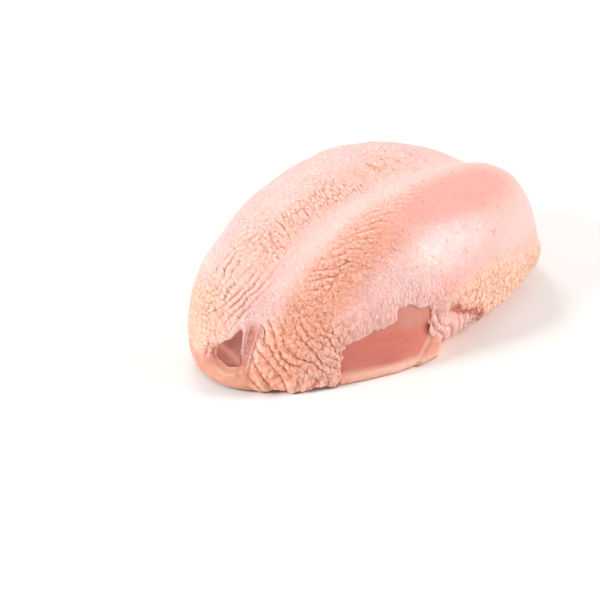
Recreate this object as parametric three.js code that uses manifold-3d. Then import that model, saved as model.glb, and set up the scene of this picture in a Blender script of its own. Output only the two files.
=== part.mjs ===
// A raw chicken breast, both lobes joined along the keel, with its skin on.
// Millimetres. +Y runs from the tail end to the neck end, +X to the right lobe, +Z up.
// It lies on its flat underside, and the origin is in the middle of that underside.
import * as THREE from "three";
import { mergeVertices } from "three/addons/utils/BufferGeometryUtils.js";
import Module from "manifold-3d";

const wasm = await Module();
wasm.setup();

// The whole form: reach of each end from the widest section, half widths and heights of the lobes.
const body = {
  tailReach: 104,
  neckReach: 104,
  leftHalfWidth: 65.5,
  rightHalfWidth: 61.5,
  leftHeight: 72.5,
  rightHeight: 69.5,
  leftSquareness: 3.7,
  rightSquareness: 2.9,
  crownSquareness: 2.25,
  tailSkew: 0.37,
  neckSkew: 0.27,
  lobeBlend: 30,
};

// How the plan outline and the crest round off towards each end.
const endRounding = {
  tailPlan: [1.95, 1.6],
  neckPlan: [2.8, 1.7],
  tailCrest: [2.5, 1.57],
  neckCrest: [3.4, 2.4],
};

// The shallow valley over the keel. Its depth is a share of the height, and changes along the keel.
const valley = { halfWidth: 13.5, tailDepth: 0.065, neckDepth: 0.075, from: -0.3, over: 1.1 };

// How far the sides draw in under the lobes, as a share of the half width.
const tuck = { tail: 0.06, rear: 0.2, from: -25, over: 40, height: 12 };

// Fuller places of the form: the left lobe's side, its outer shoulder, and the right lobe's neck end.
const leftSide = { swell: 0.1, at: 21, reach: 44 };
const swellings = [
  { at: [-62, -12, 55], reach: [27, 37, 27], amount: 0.05 },
  { at: [36, 82, 46], reach: [28, 28, 28], amount: 0.05 },
];

// Skin thickness, and the fine gap that keeps the two solids apart.
const skinThickness = 2.4;
const skinGap = 0.4;

// Gathered pleats at the tail end of the right lobe, fanning down towards the bare muscle.
const pleats = {
  fanCentreY: -40,
  from: -95,
  to: -30,
  blend: 14,
  period: 11,
  lean: 0.95,
  top: 40,
  fade: 16,
  height: 1.3,
};

// Slight unevenness of loose skin: its height and the lengths of its two waves.
const looseSkin = { height: 0.35, acrossWave: 40, alongWave: 51, lean: 0.4 };

// The skin's lower edge: height above the underside, its small scallops, and the thicker rolled border.
// Angles are in degrees round from +X.
const hem = { height: 2.2, scallop: 0.35, scallopCounts: [19, 31], roll: 1.3, rollAt: 2.7, rollReach: 6.3 };
const hemRises = [
  { from: -24, to: 70, rise: 5, blend: 22 },
  { from: 110, to: 205, rise: 3.5, blend: 30 },
];

// Openings in the skin: bare muscle low on the right side, and the pocket beside the keel's tip.
// Each outline runs straight to its second point, curved to the last but one, and straight to the last.
const sideOpening = [
  [-64.5, -6],
  [-64.5, 20],
  [-51, 26],
  [-38.5, 30],
  [-35, 34.5],
  [-18, 30.5],
  [-21, 19],
  [-15, 7],
  [-15, -6],
];
const tailOpening = [
  [-1, 30.5],
  [-5, 25],
  [-9.5, 20],
  [-9, 13.5],
  [-3, 11.5],
  [4, 13],
  [2, 21],
];
const pocket = { centre: [-4, -97.5, 20], radii: [6, 8, 8] };

// Muscle swelling into the side opening, and the rounded lip of skin under the pocket.
const bareMuscle = { centreY: -40, halfLength: 17, centreZ: 13, halfHeight: 12, swell: 1.3, steep: 1.3 };
const lip = { from: -112, to: -84, blend: 8, top: 12, fade: 5, swell: 1 };

// Where the sampling rays start: nearer the tail end, which has the most relief.
const core = new THREE.Vector3(6, -36, 24);
const fineDetail = 18;
const coarseDetail = 11;
const farthest = 220;
const floorDepth = -12;
const halvings = 30;

// Points nearer than this are one point.
const weld = 1e-5;

// How finely curves are cut: the openings' outlines, the pocket, and the disc under the skin's edge.
const curveSteps = 24;
const pocketSides = [24, 14];
const hemSides = 120;

// Sizes of the cutting solids: well clear of the breast all round.
const cutter = { reach: 140, depth: 40, hubRadius: 30, start: 20, length: 100 };

const { lerp, radToDeg, smoothstep } = THREE.MathUtils;
const ease = (t) => smoothstep(t, 0, 1);
const bump = (v, at, wide) => Math.exp(-(((v - at) / wide) ** 2));
const plateau = (v, from, to, blend) => ease((v - from) / blend + 0.5) * ease((to - v) / blend + 0.5);
const fall = (t, [sharp, round]) => (1 - Math.min(t, 0.99999) ** sharp) ** (1 / round);
const degrees = (y, x) => radToDeg(Math.atan2(y, x));
const wave = (v, length, start = 0) => Math.sin(2 * Math.PI * (v / length + start));

// Below zero inside the form, above zero outside. The inset draws it in all round.
function formLevel(x, y, z, inset) {
  const tailReach = body.tailReach - inset;
  const neckReach = body.neckReach - inset;
  const along = y - body.tailSkew * x * ease(-y / tailReach) - body.neckSkew * x * ease(y / neckReach);
  const atTail = along < 0;
  const t = Math.abs(along) / (atTail ? tailReach : neckReach);
  if (t >= 1) return 1;
  const signed = atTail ? -t : t;

  const leftWidth = body.leftHalfWidth * (1 + leftSide.swell * bump(y, leftSide.at, leftSide.reach));
  const plan = fall(t, atTail ? endRounding.tailPlan : endRounding.neckPlan);
  const drawnIn = tuck.tail + (tuck.rear - tuck.tail) * ease((y - tuck.from) / tuck.over);
  const under = 1 - drawnIn * ease(1 - z / tuck.height);
  const width = ((x < 0 ? leftWidth : body.rightHalfWidth) - inset) * plan * under;

  const rightShare = ease(x / body.lobeBlend + 0.5);
  const lobe = lerp(body.leftHeight, body.rightHeight, rightShare) - inset;
  const crest = fall(t, atTail ? endRounding.tailCrest : endRounding.neckCrest);
  const neckShare = ease((signed - valley.from) / valley.over);
  const depth = lerp(valley.tailDepth, valley.neckDepth, neckShare);
  const height = lobe * crest * (1 - depth * bump(x, 0, valley.halfWidth));

  const squareness = x < 0 ? body.leftSquareness : body.rightSquareness;
  let level = (Math.abs(x) / Math.max(width, 0.001)) ** squareness - 1;
  level += (Math.max(z, 0) / Math.max(height, 0.001)) ** body.crownSquareness;
  for (const { at, reach, amount } of swellings) {
    level -= amount * bump(x, at[0], reach[0]) * bump(y, at[1], reach[1]) * bump(z, at[2], reach[2]);
  }
  return level;
}

// The point where a ray from the core leaves the form.
function surfacePoint(direction, inset) {
  const point = new THREE.Vector3();
  let near = 0;
  let far = farthest;
  for (let step = 0; step < halvings; step++) {
    const middle = (near + far) / 2;
    point.copy(core).addScaledVector(direction, middle);
    const inside = point.z > floorDepth && formLevel(point.x, point.y, point.z, inset) < 0;
    if (inside) near = middle;
    else far = middle;
  }
  return point;
}

// A closed solid of the form, its surface raised along each ray by what relief gives there.
function grow(detail, inset, relief) {
  const ball = new THREE.IcosahedronGeometry(1, detail);
  ball.deleteAttribute("normal");
  ball.deleteAttribute("uv");
  const geometry = mergeVertices(ball, weld);
  const position = geometry.attributes.position;
  const direction = new THREE.Vector3();
  for (let i = 0; i < position.count; i++) {
    direction.fromBufferAttribute(position, i).normalize();
    const point = surfacePoint(direction, inset);
    point.addScaledVector(direction, relief(point));
    position.setXYZ(i, point.x, point.y, point.z);
  }
  return geometry;
}

function hemHeight(angle) {
  let height = hem.height;
  for (const { from, to, rise, blend } of hemRises) {
    height += rise * Math.max(plateau(angle, from, to, blend), plateau(angle + 360, from, to, blend));
  }
  for (const count of hem.scallopCounts) height += hem.scallop * wave(angle, 360 / count, 0.1);
  return height;
}

// Pleats, the rolled lower edge, the lip, and the slight unevenness of loose skin.
function skinRelief(point) {
  const fan = degrees(point.y - pleats.fanCentreY, point.x);
  const phase = ((fan + pleats.lean * point.z) / pleats.period) * Math.PI;
  const belowTop = ease((pleats.top - point.z) / pleats.fade);
  const inFan = plateau(fan, pleats.from, pleats.to, pleats.blend) * belowTop;
  const ridge = 2 * Math.sqrt(Math.abs(Math.sin(phase))) - 1;
  const angle = degrees(point.y, point.x);
  const above = point.z - hemHeight(angle);
  const roll = hem.roll * bump(above, hem.rollAt, hem.rollReach) * (1 - inFan);
  const underPocket = plateau(angle, lip.from, lip.to, lip.blend) * ease((lip.top - point.z) / lip.fade);
  const raised = pleats.height * inFan * ridge + roll + lip.swell * underPocket;
  const across = wave(point.x + looseSkin.lean * point.y, looseSkin.acrossWave);
  const along = wave(point.y - point.z, looseSkin.alongWave);
  return raised + looseSkin.height * across * along;
}

function muscleRelief(point) {
  const across = (point.y - bareMuscle.centreY) / bareMuscle.halfLength;
  const up = (point.z - bareMuscle.centreZ) / bareMuscle.halfHeight;
  const bare = point.x > 0 ? ease(bareMuscle.steep * (1 - Math.hypot(across, up))) : 0;
  return bareMuscle.swell * bare;
}

// A closed geometry as a solid that can be joined and cut.
function solid(geometry) {
  const flat = geometry.clone();
  flat.deleteAttribute("normal");
  flat.deleteAttribute("uv");
  const merged = mergeVertices(flat, weld);
  const corners = [];
  const index = merged.index.array;
  for (let i = 0; i < index.length; i += 3) {
    const [a, b, c] = index.slice(i, i + 3);
    if (a !== b && b !== c && c !== a) corners.push(a, b, c);
  }
  return new wasm.Manifold(
    new wasm.Mesh({
      numProp: 3,
      vertProperties: new Float32Array(merged.attributes.position.array),
      triVerts: new Uint32Array(corners),
    }),
  );
}

function namedMesh(name, manifold, color, roughness) {
  const { vertProperties, triVerts } = manifold.getMesh();
  const geometry = new THREE.BufferGeometry();
  geometry.setAttribute("position", new THREE.BufferAttribute(new Float32Array(vertProperties), 3));
  geometry.setIndex(new THREE.BufferAttribute(new Uint32Array(triVerts), 1));
  geometry.computeVertexNormals();
  const mesh = new THREE.Mesh(geometry, new THREE.MeshStandardMaterial({ color, roughness, metalness: 0 }));
  mesh.name = name;
  return mesh;
}

// An outline pushed through the skin: across is its level axis, and along is the way it is pushed.
function openingCutter(outline, across, along) {
  const corners = outline.map(([u, v]) => new THREE.Vector2(u, v));
  const shape = new THREE.Shape();
  shape.moveTo(corners[0].x, corners[0].y);
  shape.lineTo(corners[1].x, corners[1].y);
  shape.splineThru(corners.slice(2, -1));
  shape.lineTo(corners.at(-1).x, corners.at(-1).y);
  const length = { depth: cutter.length, bevelEnabled: false, curveSegments: curveSteps };
  const push = new THREE.ExtrudeGeometry(shape, length);
  push.applyMatrix4(new THREE.Matrix4().makeBasis(across, new THREE.Vector3(0, 0, 1), along));
  push.translate(along.x * cutter.start, along.y * cutter.start, 0);
  return solid(push);
}

// Everything below the skin's lower edge: a disc whose top follows the edge's height.
function hemCutter() {
  const { reach, depth, hubRadius } = cutter;
  const profile = [[0, -depth], [reach, -depth], [reach, 0], [hubRadius, 0], [0, 0]];
  const disc = new THREE.LatheGeometry(profile.map(([r, h]) => new THREE.Vector2(r, h)), hemSides);
  disc.rotateX(Math.PI / 2);
  const position = disc.attributes.position;
  for (let i = 0; i < position.count; i++) {
    if (position.getZ(i) < -depth / 2) continue;
    const [x, y] = [position.getX(i), position.getY(i)];
    position.setZ(i, Math.hypot(x, y) < 1 ? hem.height : hemHeight(degrees(y, x)));
  }
  return solid(disc);
}

function makeSkin() {
  const outside = solid(grow(fineDetail, 0, skinRelief));
  const inside = solid(grow(coarseDetail, skinThickness, () => 0));
  const side = openingCutter(sideOpening, new THREE.Vector3(0, 1, 0), new THREE.Vector3(1, 0, 0));
  const tail = openingCutter(tailOpening, new THREE.Vector3(1, 0, 0), new THREE.Vector3(0, -1, 0));
  return outside.subtract(inside).subtract(side).subtract(tail).subtract(hemCutter());
}

function makeMuscle() {
  const whole = solid(grow(coarseDetail, skinThickness + skinGap, muscleRelief));
  const hollow = new THREE.SphereGeometry(1, ...pocketSides);
  hollow.scale(...pocket.radii);
  hollow.translate(...pocket.centre);
  const under = new THREE.BoxGeometry(2 * cutter.reach, 2 * cutter.reach, cutter.depth);
  under.translate(0, 0, -cutter.depth / 2);
  return whole.subtract(solid(hollow)).subtract(solid(under));
}

const breast = new THREE.Group();
breast.add(namedMesh("breast_meat", makeMuscle(), 0xd88a76, 0.45));
breast.add(namedMesh("breast_skin", makeSkin(), 0xf6c8b6, 0.4));

// The origin goes to the middle of the underside.
const bounds = new THREE.Box3().setFromObject(breast);
const middle = bounds.getCenter(new THREE.Vector3());
breast.position.set(-middle.x, -middle.y, 0);
breast.updateMatrixWorld(true);

export default breast;
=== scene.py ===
import math
import bpy
import bmesh
import numpy as np
from mathutils import Matrix, Vector
from mathutils.kdtree import KDTree


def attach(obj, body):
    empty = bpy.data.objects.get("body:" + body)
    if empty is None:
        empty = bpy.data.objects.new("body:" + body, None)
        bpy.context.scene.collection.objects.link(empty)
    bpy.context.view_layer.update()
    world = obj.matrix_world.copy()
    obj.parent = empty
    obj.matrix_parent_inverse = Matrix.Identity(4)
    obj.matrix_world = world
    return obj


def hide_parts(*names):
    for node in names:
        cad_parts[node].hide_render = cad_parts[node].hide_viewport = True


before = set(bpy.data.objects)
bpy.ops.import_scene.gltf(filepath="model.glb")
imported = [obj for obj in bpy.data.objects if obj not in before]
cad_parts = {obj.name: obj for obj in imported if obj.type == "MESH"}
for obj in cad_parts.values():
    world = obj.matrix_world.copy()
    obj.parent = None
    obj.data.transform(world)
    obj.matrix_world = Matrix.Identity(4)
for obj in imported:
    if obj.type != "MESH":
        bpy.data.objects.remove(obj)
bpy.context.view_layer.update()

mm = 0.001
keelOrigin = np.array([5.0, -0.6, 0.0])  # where the keel line's middle lies in the frame
levelShare = 0.6  # taken off every swell, so that a wrinkled place stays at the height of a plain one


# Small shaping functions, all on arrays

def ease(t):
    t = np.clip(t, 0.0, 1.0)
    return t * t * (3 - 2 * t)


def hump(value, at, reach):
    return np.exp(-(((value - at) / reach) ** 2))


def plateau(value, low, high, blend):
    return ease((value - low) / blend + 0.5) * ease((high - value) / blend + 0.5)


def blob(p, at, reach):
    away = (p - np.array(at)) / np.array(reach)
    return np.exp(-(away ** 2).sum(1))


def patch(p, plan, name):
    # a soft-edged patch of the surface, from a piece's settings
    at, reach, fullness = plan["patches"][name]
    return ease(fullness * blob(p, at, reach))


def scramble(cell, seed):
    # a random value from 0 to 1 for every cell of a grid
    mixed = np.full(len(cell), seed * 97531, dtype=np.int64)
    for column, factor in zip(cell.T, (374761393, 668265263, 1442695041)):
        mixed = mixed + column * factor
    mixed = mixed & 0xFFFFFFFF
    mixed = ((mixed ^ (mixed >> 13)) * 1274126177) & 0xFFFFFFFF
    return ((mixed ^ (mixed >> 16)) & 0xFFFF) / 65535


def grain(p, size, seed):
    # smooth random values from -1 to 1, with lumps of the given size; each seed is a pattern of its own
    spot = p / size + seed * 7.31
    cell = np.floor(spot).astype(np.int64)
    within = spot - cell
    within = within * within * (3 - 2 * within)
    total = np.zeros(len(p))
    for corner in np.ndindex(2, 2, 2):
        share = np.prod(np.where(corner, within, 1 - within), axis=1)
        total += share * (2 * scramble(cell + np.array(corner), seed) - 1)
    return total


def uneven(p, size, seed, middle, swing, low, high):
    # a strength that changes from place to place, held between low and high
    return np.clip(middle + swing * grain(p, size, seed), low, high)


def cobbles(u, v, seed, edge=0.35):
    # rounded cells of an irregular grid, about 1 across: 0 in the seams, 1 on the crowns
    jitter = 0.8
    margin = (1 - jitter) / 2
    spot = np.stack([u, v], 1)
    cell = np.floor(spot).astype(np.int64)
    first, second = np.full(len(u), 9.0), np.full(len(u), 9.0)
    for i in (-1, 0, 1):
        for j in (-1, 0, 1):
            corner = cell + np.array((i, j))
            random = np.stack([scramble(corner, seed), scramble(corner, seed + 50)], 1)
            away = np.linalg.norm(spot - corner - margin - jitter * random, axis=1)
            second = np.minimum(second, np.maximum(first, away))
            first = np.minimum(first, away)
    t = np.clip((second - first) / edge, 0, 1)
    return np.sqrt(1 - (1 - t) ** 2)


def swayedCobbles(p, u, v, sway, size, seed, edge=0.35):
    # the same cells on a grid that wanders
    return cobbles(u + sway * grain(p, size, seed), v + sway * grain(p, size, seed + 1), seed + 2, edge)


def fold(phase, flatness=2):
    # rounded folds with a sharp crease at every whole number: 0 in the crease, 1 on the crown
    t = np.abs(phase - np.round(phase)) * 2
    return np.sqrt(np.clip(1 - (1 - t) ** flatness, 0, 1))


def wave(phase):
    # a smooth swell: 0 at every whole number, 1 halfway between
    return 0.5 - 0.5 * np.cos(2 * math.pi * phase)


# Getting at a piece's points

def readPoints(piece):
    flat = np.empty(len(piece.data.vertices) * 3)
    piece.data.vertices.foreach_get("co", flat)
    return flat.reshape(-1, 3) / mm - keelOrigin


def writePoints(piece, p):
    piece.data.vertices.foreach_set("co", ((p + keelOrigin) * mm).ravel())
    piece.data.update()


def readNormals(piece):
    flat = np.empty(len(piece.data.vertices) * 3)
    piece.data.vertex_normals.foreach_get("vector", flat)
    return flat.reshape(-1, 3)


def storeMasks(piece, masks):
    for name, values in masks.items():
        layer = piece.data.attributes.new(name, "FLOAT", "POINT")
        layer.data.foreach_set("value", np.asarray(values, dtype=np.float32))


def storeVector(piece, name, values):
    layer = piece.data.attributes.new(name, "FLOAT_VECTOR", "POINT")
    layer.data.foreach_set("vector", np.asarray(values, dtype=np.float32).ravel())


def only(piece):
    bpy.ops.object.select_all(action="DESELECT")
    piece.select_set(True)
    bpy.context.view_layer.objects.active = piece


def applyModifier(piece, kind, **settings):
    only(piece)
    modifier = piece.modifiers.new(kind.title(), kind)
    for key, value in settings.items():
        setattr(modifier, key, value)
    bpy.ops.object.modifier_apply(modifier=modifier.name)


def wrapOver(name, node, plan):
    # a cube, cut fine and blown up to a ball, drawn in along its normals onto the CAD node
    only(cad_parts[node])
    bpy.ops.object.duplicate()
    target = bpy.context.object
    bpy.ops.object.mode_set(mode="EDIT")
    bpy.ops.mesh.select_all(action="SELECT")
    bpy.ops.mesh.remove_doubles(threshold=0.001 * mm)
    bpy.ops.object.mode_set(mode="OBJECT")

    bpy.ops.object.select_all(action="DESELECT")
    bpy.ops.mesh.primitive_cube_add(size=2, location=(0, 0, 0))
    piece = bpy.context.object
    piece.name = name
    bpy.ops.object.mode_set(mode="EDIT")
    bpy.ops.mesh.subdivide(number_cuts=plan["perSide"] // 2 - 1)
    bpy.ops.mesh.subdivide(number_cuts=1)
    bpy.ops.object.mode_set(mode="OBJECT")
    cube = np.empty(len(piece.data.vertices) * 3)
    piece.data.vertices.foreach_get("co", cube)
    ball = np.tan(cube.reshape(-1, 3) * math.pi / 4)  # evens out the faces over the ball
    ball /= np.linalg.norm(ball, axis=1)[:, None]
    writePoints(piece, ball * plan["ballRadius"] + np.array(plan["core"]))
    applyModifier(piece, "SHRINKWRAP", target=target, wrap_method="PROJECT", use_negative_direction=True,
                  use_positive_direction=False, offset=plan["lift"] * mm)
    applyModifier(piece, "SMOOTH", factor=0.6, iterations=plan["smoothing"])
    bpy.data.objects.remove(target)
    return piece


# where the pocket at the tail end lies
pocketPlan = {"x": (-17, 6), "y": -85, "z": (7, 34), "blend": 5}


def inPocket(p):
    plan = pocketPlan
    share = ease((plan["y"] - p[:, 1]) / 4) * plateau(p[:, 0], *plan["x"], plan["blend"])
    return share * plateau(p[:, 2], *plan["z"], plan["blend"])


def fillPocket(piece, iterations):
    # draws the surface taut across the pocket
    share = inPocket(readPoints(piece))
    group = piece.vertex_groups.new(name="taut")
    for i in np.flatnonzero(share > 0.05):
        group.add([int(i)], share[i], "REPLACE")
    applyModifier(piece, "SMOOTH", factor=0.7, iterations=iterations, vertex_group="taut")


def cutWhere(piece, levelOf):
    # cuts away what lies below level zero, with the nearest points moved onto the cut line
    reach = 2.5
    mesh = bmesh.new()
    mesh.from_mesh(piece.data)
    p = readPoints(piece)
    level = levelOf(p)
    near = [f for f in mesh.faces if min(abs(level[v.index]) for v in f.verts) < reach]
    bmesh.ops.triangulate(mesh, faces=near)
    best = {}
    for edge in mesh.edges:
        a, b = edge.verts[0].index, edge.verts[1].index
        if level[a] * level[b] >= 0:
            continue
        share = level[a] / (level[a] - level[b])
        moved, anchor, part = (a, b, share) if share < 0.5 else (b, a, 1 - share)
        length = part * np.linalg.norm(p[b] - p[a])
        if moved not in best or length < best[moved][0]:
            best[moved] = (length, p[moved] + (p[anchor] - p[moved]) * part)
    mesh.verts.ensure_lookup_table()
    for index, (_, place) in best.items():
        mesh.verts[index].co = Vector((place + keelOrigin) * mm)
        level[index] = 0
    gone = [v for v in mesh.verts if level[v.index] < 0]
    bmesh.ops.delete(mesh, geom=gone, context="VERTS")
    mesh.to_mesh(piece.data)
    mesh.free()
    piece.data.update()


def keepLargest(piece):
    # drops crumbs that a cut leaves loose
    mesh = bmesh.new()
    mesh.from_mesh(piece.data)
    left = set(mesh.verts)
    islands = []
    while left:
        stack = [left.pop()]
        island = list(stack)
        while stack:
            for edge in stack.pop().link_edges:
                for v in edge.verts:
                    if v in left:
                        left.remove(v)
                        stack.append(v)
                        island.append(v)
        islands.append(island)
    islands.sort(key=len)
    bmesh.ops.delete(mesh, geom=[v for island in islands[:-1] for v in island], context="VERTS")
    mesh.to_mesh(piece.data)
    mesh.free()


def edgeDistance(piece):
    # how far every point is from the nearest open edge
    mesh = bmesh.new()
    mesh.from_mesh(piece.data)
    rim = [v.co / mm for v in mesh.verts if v.is_boundary]
    tree = KDTree(len(rim))
    for i, co in enumerate(rim):
        tree.insert(co, i)
    tree.balance()
    away = np.array([tree.find(v.co / mm)[2] for v in mesh.verts])
    mesh.free()
    return away


def hollowness(piece):
    # how far every point lies below the middle of the points round it, along its normal
    rounds = 8
    count = len(piece.data.vertices)
    ends = np.empty(len(piece.data.edges) * 2, dtype=np.int64)
    piece.data.edges.foreach_get("vertices", ends)
    a, b = ends.reshape(-1, 2).T
    p, normal = readPoints(piece), readNormals(piece)
    total = p.copy()
    for _ in range(rounds):
        ring = np.zeros((count, 3))
        number = np.zeros(count)
        for i, j in ((a, b), (b, a)):
            for axis in range(3):
                ring[:, axis] += np.bincount(i, total[j, axis], count)
            number += np.bincount(i, minlength=count)
        total = ring / np.maximum(number, 1)[:, None]
    return ((total - p) * normal).sum(1)


# The skin

skinPlan = {
    "perSide": 150, "ballRadius": 160, "core": (0, -24, 26), "lift": 3.5, "smoothing": 130,
    "pocketSmoothing": 400, "thickness": 2.0, "keptShare": 0.56,
    # how the keel line rises and falls from the tail end to the neck end
    "keelHeights": [(-104, 2), (-98, 14), (-92, 27), (-76, 45), (-56, 57), (-30, 64), (11, 66), (40, 65),
                    (65, 61), (90, 45), (104, 5)],
    # the lower edge: its height, and where it rises, in degrees round from the right side
    "hemHeight": 1.0, "hemRises": [(-24, 70, 5.0, 22), (110, 205, 3.5, 30)],
    "hangLift": (-13, 7, 3.2),
    # openings, as seen from the right side and from the tail end
    "sideOpening": [(-64.5, -9), (-64.5, 19), (-51, 25), (-38.5, 29), (-35.5, 35), (-18, 31), (-21.5, 19),
                    (-15, 7), (-15, -9)],
    "tailOpening": [(-2.5, 29.5), (-6.5, 24), (-12, 19.5), (-11.5, 14), (-5, 11.5), (0, 13), (-0.5, 21)],
    # gathered pleats at the right lobe's tail end
    "pleatCentreY": -40, "pleatPeriod": 6.6, "pleatLean": 0.95, "pleatHeight": 0.9,
    "betweenHeight": 0.7, "lumpSize": 4.6, "lumpHeight": 1.0, "pleatHemHeight": 1.5,
    "nub": (22, -84, 3), "nubReach": (3, 3, 4), "nubHeight": 2.4,
    # long creases at the left lobe's tail end
    "creasePeriod": 3.7, "creaseHeight": 0.75,
    # rows of ripples on the right lobe, and crowded bumps on the left
    "stripX": 3.5, "stripDip": 0.7, "rippleInner": [(-70, 17), (-30, 14.5), (0, 11), (20, 10)],
    "rippleHeading": (-0.83, 0.55, 0.5), "ripplePeriod": 5.0, "rippleHeight": 1.3,
    "bumpWide": 4.8, "bumpLong": 2.8, "moundHeight": 1.0,
    "slantHeading": (0.5, 0.85, 0.6), "slantPeriod": 5.5, "slantHeight": 0.9,
    "pimpleWide": 2.9, "pimpleHigh": 2.6, "pimpleHeight": 0.9,
    "seamHeading": (-0.63, 0.78, 0.9), "seamPeriod": 4.0, "seamLine": (0.78, 0.63, 0), "seamLength": 8.0,
    "seamHeight": 0.7, "pebbleWide": 4.4, "pebbleLong": 3.1,
    # feather roots: their spacing, the share of it between rows, and how far they stray from it
    "follicleGap": 5.2, "follicleRow": 0.87, "follicleStray": 0.28, "follicleReach": 2,
    "follicleAcross": (-90, 90), "follicleAlong": (-120, 105),
    # the thick flap low on the right lobe, and the ragged piece that hangs below its fold
    "flapCrest": [(-18, 25), (-7, 31), (4, 34), (18, 35), (37, 33), (56, 27), (80, 24), (95, 12)],
    "flapFold": [(-24, 29), (-8, 26), (14, 14), (24, -8)], "flapBlend": 8, "flapHeight": 1.8,
    "blockWide": 4.4, "blockHigh": 4.2, "blockHeight": 1.1,
    "gatherPeriod": 5.2, "gatherHeight": 1.9, "foldLumpHeight": 9.0,
    "strapHeight": 1.0, "lipHeight": 0.5, "thinning": 2.0, "borderWide": 1.6, "borderRoll": 0.8,
    # fuller places: middle, reach and height
    "swellings": [((-55, 20, 60), (30, 60, 30), 1.6), ((-45, -75, 30), (26, 26, 30), 1.8),
                  ((30, 85, 58), (26, 26, 20), 2.0), ((-10, 95, 50), (40, 20, 30), 1.0)],
    # soft-edged patches: middle, reach and how full they are
    "patches": {
        "salmon": ((42, 38, 54), (26, 48, 30), 1.5),     # tight smooth skin over the full part of the lobe
        "rose": ((31, 32, 64), (13, 42, 20), 1.6),
        # the next two patches get a wetter coat, and a highlight painted in white over them
        "moistWithPaintedHighlight": ((49, 4, 52), (15, 24, 10), 1.7),       # where the light catches the moist skin
        "moistTailWithPaintedHighlight": ((46, -27, 46), (16, 18, 13), 1.6),
        "blush": ((57, 12, 36), (14, 24, 9), 1.7),       # smooth pink skin between that and the flap
        "flank": ((45, -40, 40), (18, 24, 20), 1.6),     # closely wrinkled skin above the bare muscle
        "pimple": ((-32, -90, 24), (20, 18, 18), 1.6),
        # a darker patch at the lower left corner of the pocket
        "cornerDark": ((-14, -102, 15), (5.5, 9, 4.5), 1.6),
        "lilac": ((1, -88, 34), (8, 12, 14), 1.4),
    },
}


def keelHeight(y):
    return np.interp(y, *zip(*skinPlan["keelHeights"]))


def acrossKeel(p):
    # distance from the keel line, measured over the surface
    return np.sign(p[:, 0]) * (np.abs(p[:, 0]) + 0.75 * np.clip(keelHeight(p[:, 1]) - p[:, 2], 0, None))


def alongKeel(p):
    # place along the keel, counting the steep stretch at either end
    steep = 0.8 * np.clip(45 - p[:, 2], 0, None)
    return p[:, 1] + steep * (ease((p[:, 1] - 55) / 25) - ease((-p[:, 1] - 60) / 20))


def foldHeight(y):
    return np.interp(y, *zip(*skinPlan["flapFold"]))


def insideOutline(u, v, outline):
    # signed distance to a closed outline, positive outside
    corners = np.array(outline, float)
    ends = np.roll(corners, -1, axis=0)
    spot = np.stack([u, v], 1)
    distance = np.full(len(u), 1e9)
    inside = np.zeros(len(u), bool)
    for a, b in zip(corners, ends):
        run = b - a
        t = np.clip(((spot - a) @ run) / (run @ run), 0, 1)
        distance = np.minimum(distance, np.linalg.norm(spot - a - t[:, None] * run, axis=1))
        crosses = (a[1] > v) != (b[1] > v)
        reach = (b[0] - a[0]) * (v - a[1]) / (b[1] - a[1] + 1e-12) + a[0]
        inside ^= crosses & (u < reach)
    return np.where(inside, -distance, distance)


# Regions of the skin, each a share from 0 to 1

def lipShare(p):
    # the smooth rounded border under the pocket
    return plateau(p[:, 0], -38, 9, 6) * ease((-86 - p[:, 1]) / 6) * ease((14.5 - p[:, 2]) / 4)


def pleatShare(p):
    fan = np.degrees(np.arctan2(p[:, 1] - skinPlan["pleatCentreY"], p[:, 0]))
    return plateau(fan, -84, -26, 12) * ease((44 - p[:, 2]) / 18)


def rippleShare(p):
    across = acrossKeel(p)
    inner = np.interp(p[:, 1], *zip(*skinPlan["rippleInner"]))
    fading = 1 - 0.5 * ease((p[:, 1] - 5) / 45)
    band = plateau(across + 2.5 * grain(p, 8, 64), inner, inner + 15, 6)
    return fading * band * plateau(p[:, 1], -66, 66, 22)


def moundShare(p):
    across = acrossKeel(p)
    close = plateau(across + 3 * grain(p, 8, 65), -15.5, -2.5, 6)
    wider = 0.3 * plateau(across + 3 * grain(p, 8, 74), -26, -3, 8)
    return np.maximum(close, wider) * plateau(p[:, 1], -66, 50, 24)


def flapShare(p):
    # the thick yellow border low on the right lobe, above the fold
    plan = skinPlan
    crest = np.interp(p[:, 1], *zip(*plan["flapCrest"])) + 1.5 * grain(p, 9, 31)
    low = foldHeight(p[:, 1])
    upper = ease((crest - p[:, 2]) / plan["flapBlend"] + 0.5)
    return ease((p[:, 0] - 20) / 10) * upper * ease((p[:, 2] - low) / 2.2 + 0.5) * ease((p[:, 1] + 20) / 6)


def hangShare(p):
    # the thin ragged piece that hangs below the fold, beside the bare muscle
    low = foldHeight(p[:, 1])
    return ease((p[:, 0] - 30) / 10) * ease((low - p[:, 2]) / 2.2 + 0.5) * plateau(p[:, 1], -26, 18, 6)


def foldShare(p):
    # painted shade along the crease where the flap folds over
    low = foldHeight(p[:, 1]) + 1.2 * grain(p, 4, 78)
    return hump(p[:, 2], low + 0.8, 2.5) * ease((p[:, 0] - 30) / 10) * plateau(p[:, 1], -9, 17, 9)


def strapShare(p):
    # the narrow band beside the pocket
    return plateau(p[:, 0], -0.5, 7, 2.5) * plateau(p[:, 2], 8, 31, 6) * ease((-78 - p[:, 1]) / 6)


def peachShare(p):
    # the warm yellow fat that shows through beside the keel, towards the tail end
    return plateau(acrossKeel(p), 15, 46, 18) * plateau(alongKeel(p), -150, -14, 36)


def leftShare(p):
    # the creased tail end of the left lobe
    return plateau(p[:, 0], -27, 0, 10) * ease((-46 - p[:, 1]) / 16) * ease((p[:, 2] - 22) / 8)


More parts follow.
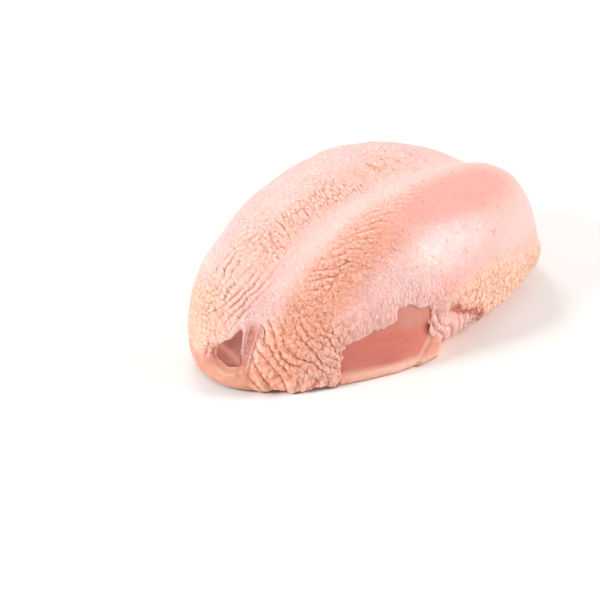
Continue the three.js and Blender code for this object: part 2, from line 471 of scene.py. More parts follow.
def skinShares(p):
    plan = skinPlan
    share = {name: patch(p, plan, name) for name in plan["patches"]}
    for name, shareOf in (
        ("lip", lipShare), ("pleat", pleatShare), ("ripple", rippleShare), ("mound", moundShare),
        ("flap", flapShare), ("foldShade", foldShare), ("strap", strapShare), ("peach", peachShare),
        ("left", leftShare),
    ):
        share[name] = shareOf(p)
    share["pimple"] = share["pimple"] * (1 - share["lip"])
    share["blush"] = share["blush"] * (1 - share["flap"])
    # moist places: a wetter coat, with a painted highlight over them
    share["wetWithPaintedHighlight"] = np.maximum(share.pop("moistWithPaintedHighlight"), 0.75 * share.pop("moistTailWithPaintedHighlight"))
    share["strip"] = hump(acrossKeel(p), plan["stripX"], 8.5) * ease((p[:, 2] - 24) / 8)
    share["right"] = ease((acrossKeel(p) - 4) / 18)
    share["farness"] = ease((p[:, 1] - 5) / 40)
    return share


# Phases of the folds: one more for every fold that is crossed

def pleatPhase(p):
    fan = np.arctan2(p[:, 1] - skinPlan["pleatCentreY"], p[:, 0])
    wander = 0.75 * grain(p, 13, 11) + 0.5 * grain(p, 6, 12) + 0.12 * grain(p, 2.6, 77)
    return (fan + np.radians(skinPlan["pleatLean"] * p[:, 2])) * 48 / skinPlan["pleatPeriod"] + wander


def leftPhase(p):
    spread = (p[:, 0] - 0.35 * (p[:, 2] - 30)) / skinPlan["creasePeriod"]
    return spread + 0.9 * grain(p, 13, 15) + 0.5 * grain(p, 6, 35)


def ripplePhase(p):
    ahead = p @ np.array(skinPlan["rippleHeading"]) / skinPlan["ripplePeriod"]
    return ahead + 0.5 * grain(p, 7, 21) + 0.5 * grain(p, 14, 36)


def flapGrid(p):
    # places on the flap, counted in its small blocks
    column = (p[:, 1] - 0.3 * p[:, 2]) / skinPlan["blockWide"] + 0.35 * grain(p, 9, 25)
    return column, p[:, 2] / skinPlan["blockHigh"] + 0.35 * grain(p, 8, 24)


# Edges: the level is zero on each cut line, and the skin is kept where it is above zero

def hemLevel(p):
    angle = np.degrees(np.arctan2(p[:, 1], p[:, 0]))
    height = np.full(len(p), skinPlan["hemHeight"])
    for low, high, rise, blend in skinPlan["hemRises"]:
        height += rise * np.maximum(plateau(angle, low, high, blend), plateau(angle + 360, low, high, blend))
    scallop = 0.6 * np.sin(np.radians(angle * 31)) + 0.5 * np.sin(np.radians(angle * 53 + 40))
    liftAt, liftReach, lift = skinPlan["hangLift"]
    shreds = 1.6 * grain(p, 2.6, 72) + 1.2 * grain(p, 5, 73) + lift * hump(p[:, 1], liftAt, liftReach)
    return p[:, 2] - (height + scallop * (1 - lipShare(p)) + hangShare(p) * shreds)


def sideLevel(p):
    level = insideOutline(p[:, 1], p[:, 2], skinPlan["sideOpening"])
    level = level + 1.2 * grain(p, 5.0, 3) + 0.8 * grain(p, 2.2, 4)
    return np.where(p[:, 0] > 0, level, 50)


def tailLevel(p):
    level = insideOutline(p[:, 0], p[:, 2], skinPlan["tailOpening"])
    return np.where(p[:, 1] < -60, level + 0.35 * grain(p, 3.0, 5), 50)


def skinRelief(p, share):
    plan = skinPlan
    x, y, z = p.T
    across, along = acrossKeel(p), alongKeel(p)
    lip, strap, flap, hang = share["lip"], share["strap"], share["flap"], hangShare(p)
    salmon, peach, mounded = share["salmon"], share["peach"], share["mound"]
    plain = (1 - lip) * (1 - strap)
    strip = hump(across, plan["stripX"], 7) * ease((z - 40) / 10)

    # gathered pleats running down towards the bare muscle, each one lumpy
    pleated = share["pleat"] * plain
    phase = pleatPhase(p)
    strength = uneven(p, 9, 13, 0.7, 0.9, 0.1, 1.1)
    relief = plan["pleatHeight"] * pleated * strength * (wave(phase) - levelShare)
    between = wave(phase + 0.5 + 0.3 * grain(p, 7, 66)) - levelShare
    relief += plan["betweenHeight"] * pleated * uneven(p, 10, 67, 0.2, 1.2, 0, 1) * between
    lumps = swayedCobbles(p, across / plan["lumpSize"], along / plan["lumpSize"], 0.4, 8, 32, 0.7)
    relief += plan["lumpHeight"] * pleated * (lumps - levelShare) - plan["stripDip"] * strip
    relief += plan["pleatHemHeight"] * pleated * hump(z, 4, 4.5) * (0.3 + 0.7 * wave(phase))
    relief += plan["nubHeight"] * blob(p, plan["nub"], plan["nubReach"])

    # long creases on the left lobe's tail end, spreading from the keel line
    leftward = plateau(x, -26, 0, 8) * ease((-52 - y) / 16) * ease((z - 24) / 8)
    creased = leftward * uneven(p, 7, 16, 0.5, 1.3, 0, 1.2)
    relief += plan["creaseHeight"] * creased * (wave(leftPhase(p)) - levelShare)

    # long slanting ripples beside the keel on the right lobe, each row lying over the next
    step = ripplePhase(p) % 1
    rippled = share["ripple"] * (1 - 0.7 * pleated) * uneven(p, 7, 22, 0.8, 0.7, 0.1, 1.2)
    relief += plan["rippleHeight"] * rippled * (step * ease((1 - step) / 0.25) - 0.4)

    # a net of seams over the warm skin
    ahead = p @ np.array(plan["seamHeading"]) / plan["seamPeriod"]
    level = p @ np.array(plan["seamLine"]) / plan["seamLength"]
    seams = swayedCobbles(p, level, ahead, 0.35, 7, 37)
    relief += plan["seamHeight"] * peach * (1 - 0.7 * pleated) * (seams - 0.7)

    # crowded bumps round the feather roots on the left lobe
    slanted = across + 0.35 * along
    bumps = swayedCobbles(p, slanted / plan["bumpWide"], along / plan["bumpLong"], 0.5, 6, 68, 0.6)
    crowd = uneven(p, 10, 23, 0.75, 0.8, 0.1, 1.2)
    relief += plan["moundHeight"] * mounded * crowd * (bumps - levelShare)
    slant = (p @ np.array(plan["slantHeading"])) / plan["slantPeriod"] + 0.6 * grain(p, 8, 40)
    relief += plan["slantHeight"] * mounded * (fold(slant) - 0.7) * uneven(p, 9, 41, 0.5, 0.9, 0, 1)

    # small pimples low at the tail end
    pimples = cobbles(x / plan["pimpleWide"], z / plan["pimpleHigh"] + 0.3 * grain(p, 8, 42), 43, 0.7)
    relief += plan["pimpleHeight"] * share["pimple"] * (pimples - levelShare)

    # the thick flap with its rows of small blocks, and the gathered piece that hangs below it
    block = cobbles(*flapGrid(p), 51, 0.5)
    relief += flap * (plan["flapHeight"] + plan["blockHeight"] * (block - levelShare))
    gather = fold((y + 0.3 * z) / plan["gatherPeriod"] + 0.9 * grain(p, 9, 44), 3) - 0.8
    relief += hang * (plan["gatherHeight"] * gather * (1 + 0.5 * grain(p, 6, 75)) - 0.6)
    relief += plan["foldLumpHeight"] * hang * flap * grain(p, 3.4, 76)
    for at, reach, amount in plan["swellings"]:
        relief += amount * blob(p, at, reach)

    # loose skin: broad unevenness and finer wrinkling, which the tight and the thick places have less of
    relief += 0.8 * grain(p, 28, 17) * (1 - 0.5 * lip) + 0.5 * grain(p, 13, 45) * plain * (1 - salmon)
    pebble = swayedCobbles(p, across / plan["pebbleWide"], along / plan["pebbleLong"], 0.5, 6, 47, 0.6)
    finer = 0.4 * grain(p, 5.5, 18) + 0.6 * (pebble - levelShare) * uneven(p, 16, 50, 0.6, 0.6, 0, 1.1)
    finer = finer * plain * (1 - 0.6 * strip) * (1 - 0.9 * salmon) * (1 - 0.7 * flap) * (1 - 0.8 * hang)
    finer = finer * (1 - 0.45 * share["wetWithPaintedHighlight"]) * (1 + 0.7 * share["flank"])
    relief += finer * (1 - 0.35 * ease(-across / 20 - 0.8))

    # two thin cords run down the band beside the pocket
    relief += strap * (plan["strapHeight"] * (hump(x, 0.4, 1.0) + hump(x, 5.6, 1.1)) - 0.6)
    relief += plan["lipHeight"] * lip * grain(p, 8, 71)
    return relief


def placeFollicles(p, normal):
    # rows of feather roots, found in the sheet's own points, with each row offset from the last
    plan = skinPlan
    across, along = acrossKeel(p), alongKeel(p)
    tree = KDTree(len(p))
    for i in range(len(p)):
        tree.insert((across[i], along[i], 0), i)
    tree.balance()
    rng = np.random.default_rng(7)
    roots = []
    gap, stray = plan["follicleGap"], plan["follicleStray"]
    for i, v in enumerate(np.arange(*plan["follicleAcross"], gap * plan["follicleRow"])):
        for u in np.arange(*plan["follicleAlong"], gap):
            jitter = rng.uniform(-stray, stray, 2) * gap
            _, index, off = tree.find((v + jitter[0], u + (i % 2) * gap / 2 + jitter[1], 0))
            if off < plan["follicleReach"]:
                roots.append(p[index])
    nearest = KDTree(len(roots))
    for i, root in enumerate(roots):
        nearest.insert(root, i)
    nearest.balance()
    offset = np.array([point - np.array(nearest.find(point)[0]) for point in p])
    return offset - normal * (offset * normal).sum(1)[:, None]


def makeSkin():
    plan = skinPlan
    skin = wrapOver("chickenSkin", "breast_meat", plan)
    fillPocket(skin, plan["pocketSmoothing"])
    for levelOf in (hemLevel, sideLevel, tailLevel):
        cutWhere(skin, levelOf)
    keepLargest(skin)
    print("skin sheet", len(skin.data.vertices), "points")

    p, normal = readPoints(skin), readNormals(skin)
    away = edgeDistance(skin)
    share = skinShares(p)
    follicle = placeFollicles(p, normal)
    masks = {
        **share, "pleatPhase": pleatPhase(p), "ripplePhase": ripplePhase(p), "leftPhase": leftPhase(p),
        "rootAway": np.linalg.norm(follicle, axis=1),
    }

    # the sheet thins towards its edges, and its relief calms down beside the pocket
    tailEnd = ease((-80 - p[:, 1]) / 6)
    thinned = ease(1 - away / (9 - 4 * tailEnd)) * ease((p[:, 2] - 3) / 4)
    thinned = thinned * (1 - 0.5 * tailEnd * ease((p[:, 2] - 15) / 5))
    calm = 1 - 0.7 * tailEnd * ease(1.2 - away / 5)
    relief = skinRelief(p, share) * calm - plan["thinning"] * thinned
    p += normal * relief[:, None]
    writePoints(skin, p)

    # the border rolls in towards the muscle
    normal = readNormals(skin)
    curl = np.clip(1 - away / plan["borderWide"], 0, 1)
    roll = plan["borderRoll"] * (1 - 0.5 * tailEnd) * (1 - np.sqrt(1 - 0.98 * curl ** 2))
    p -= normal * roll[:, None]
    p[:, 2] = np.maximum(p[:, 2], 0.4)
    writePoints(skin, p)

    storeMasks(skin, {**masks, "rim": curl, "hollow": hollowness(skin)})
    storeVector(skin, "follicle", follicle)
    flat = np.zeros(len(p))
    storeVector(skin, "flapGrid", np.stack([*flapGrid(p), flat], 1))
    storeVector(skin, "tract", np.stack([acrossKeel(p), alongKeel(p), flat], 1))
    # only the hidden inner side is made coarser
    skin.vertex_groups.new(name="inner")
    applyModifier(skin, "SOLIDIFY", thickness=plan["thickness"] * mm, offset=-1, use_even_offset=False,
                  shell_vertex_group="inner")
    applyModifier(skin, "DECIMATE", ratio=plan["keptShare"], vertex_group="inner", vertex_group_factor=1000)
    print("skin solid", sum(len(f.vertices) - 2 for f in skin.data.polygons), "triangles")
    return skin


# The muscle under it

musclePlan = {
    "perSide": 100, "ballRadius": 160, "core": (0, -22, 26), "lift": 0.0, "smoothing": 20,
    "pocketSmoothing": 90, "pocketRise": 1.1, "pocketFoldRise": 0.4,
    # outlines seen from the right side: the small muscle beside the big one, and the seam below both
    "lens": [(-30, -1), (-25, 6), (-22, 12), (-19.5, 17), (-16, 16), (-12, 8), (-12, -1)],
    "band": [(-70, -4), (-66, 4), (-50, 3.5), (-38, 5), (-28, 3), (-28, -4)],
    "lensRise": 1.3, "bandRise": 0.7, "footRise": 1.8, "lumpHeight": 0.35,
    "patches": {
        "darkMeat": ((45, -42, 14), (22, 20, 8), 1.5), "lightMeat": ((54, -29, 29), (20, 9, 7), 1.5),
        "ruddy": ((47, -34, 19), (9, 6, 4), 1.5), "notchShade": ((59, -20.5, 19.5), (7, 3.5, 3.5), 1.6),
    },
}


def makeMuscle():
    plan = musclePlan
    muscle = wrapOver("breastMuscle", "breast_meat", plan)
    fillPocket(muscle, plan["pocketSmoothing"])
    p, normal = readPoints(muscle), readNormals(muscle)
    slanting = p[:, 2] + 0.5 * p[:, 0]
    taut = inPocket(p) * ease(1 - insideOutline(p[:, 0], p[:, 2], skinPlan["tailOpening"]) / 3)
    rise = plan["pocketRise"] + plan["pocketFoldRise"] * hump(slanting, 13.5, 1.8)
    p += normal * (taut * rise)[:, None]

    bare = ease((p[:, 0] - 20) / 12) * plateau(p[:, 1], -68, -10, 8)
    lens = insideOutline(p[:, 1], p[:, 2], plan["lens"]) + 0.5 * grain(p, 5, 61)
    seam = insideOutline(p[:, 1], p[:, 2], plan["band"]) + 0.5 * grain(p, 6, 62)
    rise = (plan["footRise"] * ease((9 - p[:, 2]) / 9) + plan["lensRise"] * ease(-lens / 2)
            + plan["bandRise"] * ease(-seam / 1.2) + plan["lumpHeight"] * grain(p, 7, 63))
    p += normal * (bare * rise)[:, None]
    p[:, 2] = np.maximum(p[:, 2], 0.0)
    writePoints(muscle, p)

    masks = {name: patch(p, plan, name) for name in plan["patches"]}
    masks["lens"] = bare * ease(-lens / 2 + 0.5)
    masks["edge"] = bare * np.maximum(hump(lens, 0, 0.7), hump(seam, 0, 0.6))
    masks["band"] = plateau(p[:, 2], -3, 6, 4) * ease((p[:, 0] - 10) / 10)
    masks["height"] = p[:, 2]
    masks["membrane"] = bare * plateau(p[:, 1], -46, -12, 8)
    masks["pocket"] = ease((-80 - p[:, 1]) / 8)
    masks["pocketFold"] = taut * hump(p[:, 2] + 0.5 * p[:, 0], 13.5, 1.6)
    storeMasks(muscle, masks)
    print("muscle", len(muscle.data.polygons), "faces")
    return muscle


# Materials

class Level:
    # a number in a material, worked on with ordinary arithmetic
    def __init__(self, sheet, socket):
        self.sheet, self.socket = sheet, socket

    def work(self, kind, *values):
        node = self.sheet.add("ShaderNodeMath", {"operation": kind}, dict(enumerate(values)))
        return Level(self.sheet, node.outputs[0])

    def __add__(self, other):
        return self.work("ADD", self, other)

    def __radd__(self, other):
        return self.work("ADD", other, self)

    def __sub__(self, other):
        return self.work("SUBTRACT", self, other)

    def __rsub__(self, other):
        return self.work("SUBTRACT", other, self)

    def __mul__(self, other):
        return self.work("MULTIPLY", self, other)

    def __rmul__(self, other):
        return self.work("MULTIPLY", other, self)

    def held(self):
        # kept from going below 0 or above 1
        return self.work("MINIMUM", self.work("MAXIMUM", self, 0.0), 1.0)

    def fraction(self):
        return self.work("FRACT", self)

    def awayFrom(self, value):
        return self.work("ABSOLUTE", self - value)

    def between(self, low, high):
        # 0 at low, 1 at high, with soft ends
        node = self.sheet.add("ShaderNodeMapRange", {"interpolation_type": "SMOOTHSTEP"},
                              {"Value": self, "From Min": low, "From Max": high})
        return Level(self.sheet, node.outputs["Result"])


class Sheet:
    def __init__(self, name):
        self.material = bpy.data.materials.new(name)
        self.material.use_nodes = True
        self.tree = self.material.node_tree
        self.shader = self.tree.nodes["Principled BSDF"]
        self.place = self.add("ShaderNodeTexCoord", {}, {}).outputs["Object"]

    def feed(self, socket, value):
        if isinstance(value, Level):
            value = value.socket
        if isinstance(value, bpy.types.NodeSocket):
            self.tree.links.new(value, socket)
        else:
            socket.default_value = value

    def add(self, kind, settings, sockets):
        node = self.tree.nodes.new(kind)
        for key, value in settings.items():
            setattr(node, key, value)
        for key, value in sockets.items():
            self.feed(node.inputs[key], value)
        return node

    def mask(self, name):
        return Level(self, self.add("ShaderNodeAttribute", {"attribute_name": name}, {}).outputs["Fac"])

    def vector(self, name):
        return self.add("ShaderNodeAttribute", {"attribute_name": name}, {}).outputs["Vector"]

    def stretch(self, place, scale, turn=(0, 0, 0)):
        sockets = {"Vector": place, "Scale": scale, "Rotation": turn}
        return self.add("ShaderNodeMapping", {}, sockets).outputs["Vector"]

    def noise(self, size, detail=2.0, place=None):
        # lumps of the given size: millimetres on the object's own place, else in the units of the place given
        scale = 1 / (size * mm) if place is None else 1 / size
        sockets = {"Vector": place or self.place, "Scale": scale, "Detail": detail}
        return Level(self, self.add("ShaderNodeTexNoise", {}, sockets).outputs["Fac"])

    def net(self, size, place):
        # distance to the nearest line of an irregular net
        sockets = {"Vector": place, "Scale": 1 / size}
        node = self.add("ShaderNodeTexVoronoi", {"feature": "DISTANCE_TO_EDGE"}, sockets)
        return Level(self, node.outputs["Distance"])

    def vectorWork(self, kind, sockets):
        return self.add("ShaderNodeVectorMath", {"operation": kind}, sockets).outputs

    def shift(self, place, amount, size):
        # a place pushed about by noise, so that lines drawn on it wander
        sockets = {"Vector": place, "Scale": 1 / size, "Detail": 2.0}
        push = self.add("ShaderNodeTexNoise", {}, sockets).outputs["Color"]
        centred = self.vectorWork("SUBTRACT", {0: push, 1: (0.5, 0.5, 0.5)})[0]
        scaled = self.vectorWork("SCALE", {0: centred, "Scale": amount})[0]
        return self.vectorWork("ADD", {0: place, 1: scaled})[0]

    def wrinkles(self, place, size, stretch, sway, swaySize):
        # a net whose cells are drawn out and whose lines wander
        return self.net(size, self.shift(self.stretch(place, stretch), sway, swaySize))

    def mix(self, factor, a, b):
        a, b = ((*c, 1) if isinstance(c, tuple) else c for c in (a, b))
        node = self.add("ShaderNodeMix", {"data_type": "RGBA", "clamp_factor": True}, {0: factor, 6: a, 7: b})
        return node.outputs[2]

    def finish(self, colour, roughness, height, **constants):
        self.feed(self.shader.inputs["Base Color"], colour)
        self.feed(self.shader.inputs["Roughness"], roughness)
        bump = self.add("ShaderNodeBump", {}, {"Height": height, "Distance": mm, "Strength": 1.0})
        self.feed(self.shader.inputs["Normal"], bump.outputs["Normal"])
        for key, value in constants.items():
            self.shader.inputs[key.replace("_", " ")].default_value = value
        return self.material


# white, glint and crest paint highlights; crease, trough and fold paint shade; lip is partly painted shade
skinTones = {
    "pale": (0.98, 0.60, 0.56), "pink": (0.98, 0.52, 0.47), "peach": (0.97, 0.55, 0.45),
    "orange": (0.97, 0.43, 0.27), "salmon": (0.98, 0.50, 0.46), "cream": (0.97, 0.585, 0.42),
    "strip": (0.94, 0.58, 0.53), "lip": (0.60, 0.245, 0.125), "strap": (0.45, 0.15, 0.12),
    "crease": (0.78, 0.23, 0.11), "fold": (0.52, 0.075, 0.022), "pore": (0.66, 0.20, 0.11),
    "white": (0.98, 0.78, 0.71), "paintedGlint": (0.97, 0.86, 0.86), "cornerDark": (0.60, 0.17, 0.11),
    "rose": (0.98, 0.38, 0.32), "pleat": (0.97, 0.47, 0.32), "crest": (0.98, 0.68, 0.54),
    "trough": (0.90, 0.37, 0.26), "lilac": (0.80, 0.50, 0.47), "pimple": (0.94, 0.53, 0.38),
    "blush": (0.97, 0.46, 0.41),
}


skinNets = {
    "coarse": {"size": 3.2, "stretch": (1.0, 1.4, 1), "sway": 2.2, "swaySize": 4.0},
    "small": {"size": 2.1, "stretch": (0.6, 1, 1), "sway": 1.6, "swaySize": 3.0},
    "crosswise": {"size": 2.1, "stretch": (0.35, 1, 1), "sway": 1.4, "swaySize": 5.0},
}


def skinFinish():
    sheet = Sheet("skinFinish")
    tone = skinTones
    mask = sheet.mask
    tract = sheet.vector("tract")
    broad, patchy, fine = sheet.noise(20), sheet.noise(6, 3.0), sheet.noise(1.7, 3.0)
    right, peach, salmon, flap = mask("right"), mask("peach"), mask("salmon"), mask("flap")
    lip, strap, strip, pleat = mask("lip"), mask("strap"), mask("strip"), mask("pleat")
    mound, ripple, wetWithPaintedHighlight, flank = mask("mound"), mask("ripple"), mask("wetWithPaintedHighlight"), mask("flank")
    left, pimple, blush, hollow = mask("left"), mask("pimple"), mask("blush"), mask("hollow")
    smooth = (1 - salmon * 0.75) * (1 - strip * 0.45) * (1 - lip * 0.9)
    farPale = 1 - mask("farness") * 0.8
    tracts = (ripple * 0.8 + mound + left * 0.6).held() * farPale

    # the broad colours, region by region
    colour = tone["pale"]
    for factor, name in (
        (right * 0.7 + (broad - 0.5) * 0.6, "pink"),
        (peach * (0.75 + (patchy - 0.5) * 1.4), "orange"),
        (pleat * (0.55 + (patchy - 0.5) * 1.2), "pleat"),
        (left * (0.05 + patchy * 0.55), "cream"),
        ((ripple * 0.4 + mound * 0.75) * (0.4 + patchy) * farPale, "peach"),
        # a painted highlight on the crowns of the tracts' relief, and painted shade in its hollows
        (tracts * hollow.between(0.0, -0.25) * 0.75, "crest"),
        (tracts * hollow.between(0.0, 0.22) * (0.4 + mound * 0.25), "trough"),
        (salmon * 0.8, "salmon"),
        (mask("rose") * 0.8, "rose"),
        (blush * 0.7, "blush"),
        (flap * (0.35 + patchy), "cream"),
        (pimple * (0.35 + patchy), "pimple"),
        (strip * 0.75, "strip"),
        (mask("lilac") * 0.75, "lilac"),
        (strap * (1 - mask("rim") * 0.6) * 0.85, "strap"),
        # the lip's own tan colour, darkened further as painted shade of its low, downward-facing side
        (lip * (0.55 + patchy * 0.6).held() * (1 - mask("rim") * 0.4), "lip"),
        # darker at the lower left corner of the pocket
        (mask("cornerDark") * 0.7, "cornerDark"),
    ):
        colour = sheet.mix(factor, colour, tone[name])

    # fine wrinkles: two irregular nets, and seams drawn out across the lobe
    coarse, small, crosswise = (sheet.wrinkles(tract, **net) for net in skinNets.values())
    crossLine = crosswise.between(0.2, 0.0)
    swell = coarse.between(0.0, 0.35) * 0.5 + small.between(0.0, 0.4) * 0.22
    dry = 1 - wetWithPaintedHighlight * 0.6
    height = swell * dry + sheet.noise(1.2, 3.0) * 0.12 * dry + sheet.noise(3.4, 3.0) * 0.4
    height = height * smooth * (1 - pleat * 0.6)
    height = height - crossLine * (0.35 * peach * smooth + flank * 0.3) * (1 - pleat * 0.7)
    block = sheet.net(1.0, sheet.vector("flapGrid")).between(0.12, 0.0) * flap
    height = height - block * 0.4

    # crisp creases along the pleats and ripples
    pleatLine = (mask("pleatPhase") + 0.5).fraction().awayFrom(0.5).between(0.08, 0.0) * pleat
    leftLine = (mask("leftPhase") + 0.5).fraction().awayFrom(0.5).between(0.1, 0.0) * left
    crease = (pleatLine + leftLine * 0.4) * (patchy - 0.3).held() * 3
    ledge = mask("ripplePhase").fraction().between(0.8, 1.0) * ripple * (1 - pleat * 0.6)
    height = height - crease * 0.9 - ledge * 0.5

    # a painted highlight: white glints painted on the moist skin, broken up by thin darker strokes
    paintedGlint = (sheet.noise(6.0, 4.0) - 0.34).held() * 3.2 * (fine + 0.3)
    colour = sheet.mix(wetWithPaintedHighlight * (paintedGlint * 0.5 + 0.02).held(), colour, tone["paintedGlint"])
    stroke = small.between(0.14, 0.0) + crossLine * 0.5
    colour = sheet.mix(wetWithPaintedHighlight * stroke.held() * (patchy * 1.3 - 0.1).held(), colour, tone["lilac"])

    # feather roots, with a pore in some of them
    fromRoot = Level(sheet, sheet.vectorWork("LENGTH", {0: sheet.vector("follicle")})["Value"])
    near = mask("rootAway").between(1.5, 1.0)
    pore = fromRoot.between(0.75, 0.35) * near * sheet.noise(5, 0.0).between(0.59, 0.65)
    height = height + fromRoot.between(1.6, 0.2) * near * 0.35 * (mound + 0.2) - pore * 0.3

    # painted highlights on the crowns, painted shade in the hollows and lines
    paintedCrownHighlight = hollow.between(-0.05, -0.4) * smooth
    colour = sheet.mix(paintedCrownHighlight * 0.4 * (1 - pleat), colour, tone["white"])
    colour = sheet.mix(paintedCrownHighlight * 0.4 * pleat, colour, tone["crest"])
    light = (1 - pleat) * (1 - peach * 0.7) * (1 - flap * 0.6) * (1 - blush * 0.7) * smooth
    # painted highlights on the crowns of the fine wrinkles
    colour = sheet.mix(small.between(0.2, 0.6) * fine * (0.6 + flank * 1.2) * light, colour, tone["white"])
    colour = sheet.mix(flank * crossLine * (patchy * 0.7 - 0.1).held(), colour, tone["lilac"])
    # painted shade in the hollows, along the crease lines, under the ripple ledges and between the flap's
    # blocks
    low = hollow.between(0.0, 0.4) * 0.5 + coarse.between(0.12, 0.0) * 0.25 * smooth + crossLine * peach * 0.2
    colour = sheet.mix((low + crease * 0.5 + ledge * 0.3 + block * 0.2).held(), colour, tone["crease"])
    spotted = (peach * 0.7 + mound * 0.8 + ripple * 0.5 + 0.22).held()
    colour = sheet.mix(pore * spotted * (1 - pleat * 0.7), colour, tone["pore"])
    # painted shade in dark red-brown spots along the crease under the flap's fold
    foldShadeSpots = (sheet.noise(3.2) * 5 - 1.6).held()
    colour = sheet.mix(mask("foldShade") * foldShadeSpots * 0.9, colour, tone["fold"])

    roughness = 0.46 - wetWithPaintedHighlight * 0.1 - lip * 0.05 + strip * 0.15 + (fine - 0.5) * 0.25
    sheet.feed(sheet.shader.inputs["Coat Weight"], (0.12 + wetWithPaintedHighlight * 0.22) * (1 - strip))
    return sheet.finish(colour, roughness, height, Subsurface_Weight=0.25, Subsurface_Radius=(1, 0.3, 0.15),
                        Subsurface_Scale=0.9 * mm, Coat_Roughness=0.4, Coat_IOR=1.4, Specular_IOR_Level=0.3)


# pocket and red paint shade; white paints highlights along the raised edges, and lightens the fibres
muscleTones = {
    "meat": (0.70, 0.21, 0.15), "dark": (0.66, 0.17, 0.12), "light": (0.84, 0.35, 0.25),
    "band": (0.93, 0.50, 0.36), "pocket": (0.28, 0.06, 0.037), "red": (0.40, 0.03, 0.02),
    "white": (0.94, 0.56, 0.44), "tan": (0.66, 0.27, 0.19), "ruddy": (0.72, 0.15, 0.12),
    "shred": (0.96, 0.66, 0.54),
}


def muscleFinish():
    sheet = Sheet("muscleFinish")
    tone = muscleTones
    mask = sheet.mask
    patchy = sheet.noise(12)
    drawnOut = sheet.stretch(sheet.place, (0.12 / mm, 0.05 / mm, 0.5 / mm), (0.5, 0, 0))
    fibre = sheet.noise(1.0, 3.0, drawnOut)
    # a ragged pale membrane that wanders along the lower edge
    wandering = mask("height") + (sheet.noise(3.0, 3.0) - 0.5) * 7
    shred = wandering.awayFrom(3.0).between(1.5, 0.2)
    colour = tone["meat"]
    for factor, name in (
        (mask("darkMeat") * 0.9, "dark"),
        (mask("lightMeat") * 0.85, "tan"),
        (mask("ruddy") * 0.3, "ruddy"),
        (mask("band") * 0.85, "band"),
        (mask("lens") * 0.7, "light"),
        # a painted highlight along the raised edges of the small muscle and the band
        (mask("edge") * 0.8, "white"),
        (shred * mask("membrane") * (patchy * 1.8 - 0.3).held(), "shred"),
        # the meat in the pocket: its own colour, darkened with painted shade of the hollow under the skin
        (mask("pocket") * 0.9, "pocket"),
        (mask("pocketFold") * 0.35, "light"),
        # painted shade of a notch in the muscle, in dark red
        (mask("notchShade"), "red"),
        ((fibre - 0.5).held() * 0.38, "white"),
    ):
        colour = sheet.mix(factor, colour, tone[name])
    height = fibre * 0.12 + sheet.noise(6) * 0.4
    sheet.feed(sheet.shader.inputs["Coat Weight"], 0.25 - mask("pocket") * 0.2)
    roughness = 0.36 + (patchy - 0.5) * 0.2 + mask("pocket") * 0.2
    return sheet.finish(colour, roughness, height, Subsurface_Weight=0.25, Subsurface_Radius=(1, 0.3, 0.2),
                        Subsurface_Scale=4 * mm, Coat_Roughness=0.3, Coat_IOR=1.4)


skin = makeSkin()
skin.data.materials.append(skinFinish())
muscle = makeMuscle()
muscle.data.materials.append(muscleFinish())
for piece, node, slotName in ((skin, "breast_skin", "skin"), (muscle, "breast_meat", "meat")):
    only(piece)
    bpy.ops.object.shade_smooth()
    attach(piece, "root")
    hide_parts(node)
print("skin and muscle in place of their nodes")


# Floor, light and camera

stagePlan = {"floorSize": 4000, "floorDrop": 0.2, "floorColour": (0.9, 0.89, 0.88), "skyStrength": 0.48}
lampAim = 30  # height above the floor that every lamp points at
lampPlans = [
    {"name": "key", "azimuth": 130, "elevation": 30, "distance": 1200, "size": 450, "power": 9.5,
     "colour": (1, 0.99, 0.97)},
    {"name": "rear", "azimuth": 235, "elevation": 32, "distance": 1200, "size": 400, "power": 4.5,
     "colour": (1, 1, 1)},
    {"name": "fill", "azimuth": -25, "elevation": 30, "distance": 1400, "size": 450, "power": 14.5,
     "colour": (1, 1, 1)},
]
cameraPlan = {
    "azimuth": 39.15, "elevation": 30.0, "distance": 1000.0, "sensor": 36,
    "focalPixels": 1964.0, "originPixel": (366.7, 309.6), "frame": 600,
}


def outwards(azimuth, elevation):
    # the way back from the breast: azimuth 0 stands at the tail end, 90 at the right side
    a, e = math.radians(azimuth), math.radians(elevation)
    return Vector((math.sin(a) * math.cos(e), -math.cos(a) * math.cos(e), math.sin(e)))


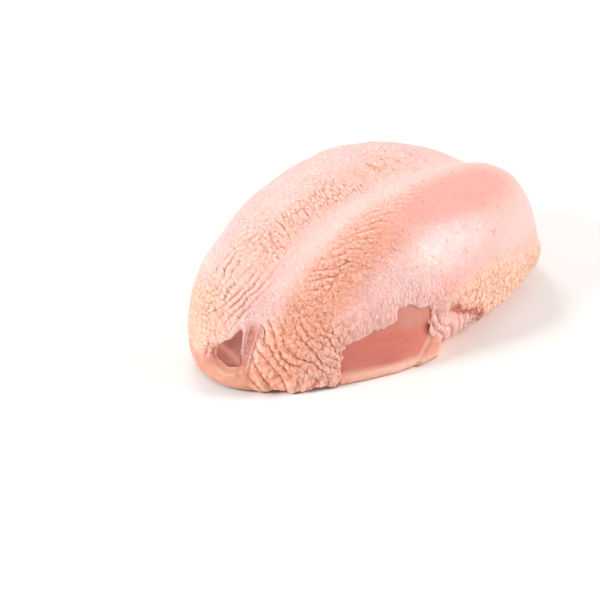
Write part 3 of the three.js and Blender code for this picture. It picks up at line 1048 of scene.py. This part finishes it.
def makeFloor():
    plan = stagePlan
    bpy.ops.object.select_all(action="DESELECT")
    bpy.ops.mesh.primitive_plane_add(size=plan["floorSize"] * mm, location=(0, 0, -plan["floorDrop"] * mm))
    floor = bpy.context.object
    floor.name = "floor"
    sheet = Sheet("floorFinish")
    sheet.feed(sheet.shader.inputs["Base Color"], (*plan["floorColour"], 1))
    sheet.feed(sheet.shader.inputs["Roughness"], 0.7)
    floor.data.materials.append(sheet.material)


def addLamp(name, azimuth, elevation, distance, size, power, colour):
    back = outwards(azimuth, elevation)
    data = bpy.data.lights.new(name, "AREA")
    data.shape = "DISK"
    data.size, data.energy, data.color = size * mm, power, colour
    lamp = bpy.data.objects.new(name, data)
    bpy.context.collection.objects.link(lamp)
    lamp.location = back * distance * mm + Vector((0, 0, lampAim * mm))
    lamp.rotation_euler = (-back).to_track_quat("-Z", "Y").to_euler()


def makeCamera():
    # turned so that the keel line's middle falls on its pixel of the square picture
    plan = cameraPlan
    back = outwards(plan["azimuth"], plan["elevation"])
    a = math.radians(plan["azimuth"])
    right = Vector((math.cos(a), math.sin(a), 0))
    up = back.cross(right)
    half = plan["frame"] / 2
    offX = (half - plan["originPixel"][0]) / plan["focalPixels"]
    offY = (plan["originPixel"][1] - half) / plan["focalPixels"]
    look = (-back + right * offX + up * offY).normalized()
    side = (right - look * right.dot(look)).normalized()
    over = side.cross(look)
    data = bpy.data.cameras.new("camera")
    data.sensor_width = plan["sensor"]
    data.lens = plan["focalPixels"] * plan["sensor"] / plan["frame"]
    camera = bpy.data.objects.new("camera", data)
    bpy.context.collection.objects.link(camera)
    turn = Matrix((side, over, -look)).transposed()
    place = Vector(keelOrigin * mm) + back * plan["distance"] * mm
    camera.matrix_world = Matrix.Translation(place) @ turn.to_4x4()
    bpy.context.scene.camera = camera


def makeSky():
    world = bpy.data.worlds.new("studio")
    world.use_nodes = True
    background = world.node_tree.nodes["Background"]
    background.inputs["Color"].default_value = (1, 1, 1, 1)
    background.inputs["Strength"].default_value = stagePlan["skyStrength"]
    bpy.context.scene.world = world
    bpy.context.scene.view_settings.view_transform = "Standard"


makeFloor()
makeCamera()
for lampPlan in lampPlans:
    addLamp(**lampPlan)
makeSky()
print("floor, camera and", len(lampPlans), "lamps set")
